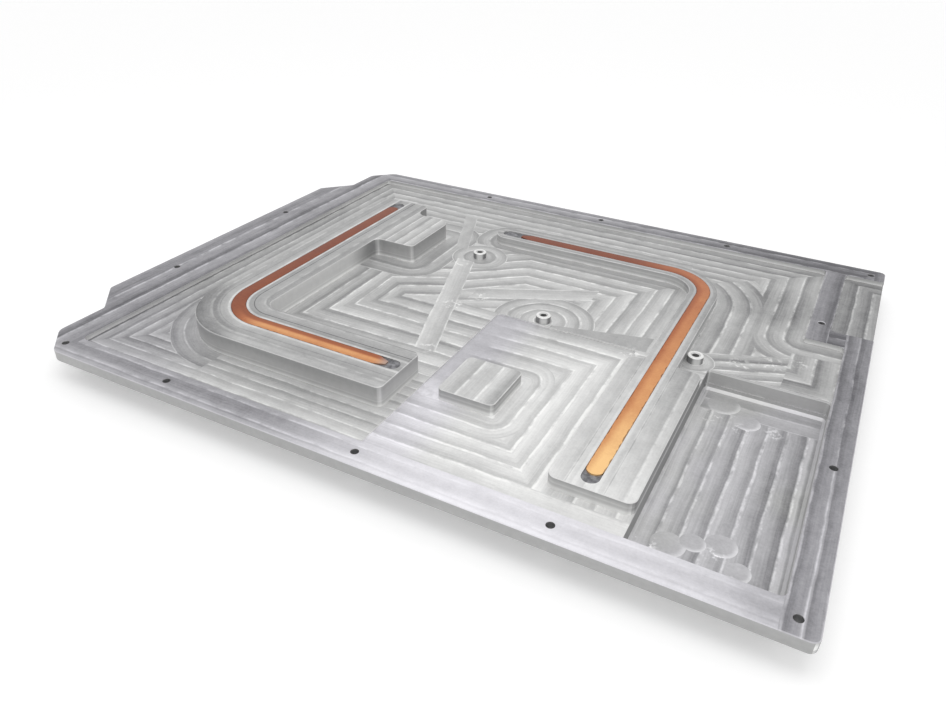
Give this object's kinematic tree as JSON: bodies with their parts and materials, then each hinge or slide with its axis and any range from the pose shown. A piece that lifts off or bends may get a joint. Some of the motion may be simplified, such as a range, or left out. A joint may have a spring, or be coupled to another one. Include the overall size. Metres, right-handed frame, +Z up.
{
  "type": "heat pipe heatsink",
  "caption": "Milled aluminium heatsink plate with raised lands, a deep pocket, fins underneath and L-shaped copper heat pipes soldered flush into it.",
  "frame": {"origin": "centre of the bounding box in plan, at the level of the fin tips that the plate stands on", "axes": "+Z up, out of the machined side that takes the circuit board; +X along the front edge to the right, away from the edge with the tab; +Y to the back edge"},
  "size_m": [0.47, 0.377, 0.0315],
  "materials": {
    "plate": "as milled, with visible tool passes",
    "pipe": null,
    "solder": null
  },
  "bodies": {
    "root": {"base_plate": "plate", "heat_pipe_left": "pipe", "heat_pipe_right": "pipe", "solder_left_back": "solder", "solder_left_end": "solder", "solder_right_front": "solder", "solder_right_end": "solder"}
  },
  "joints": []
}
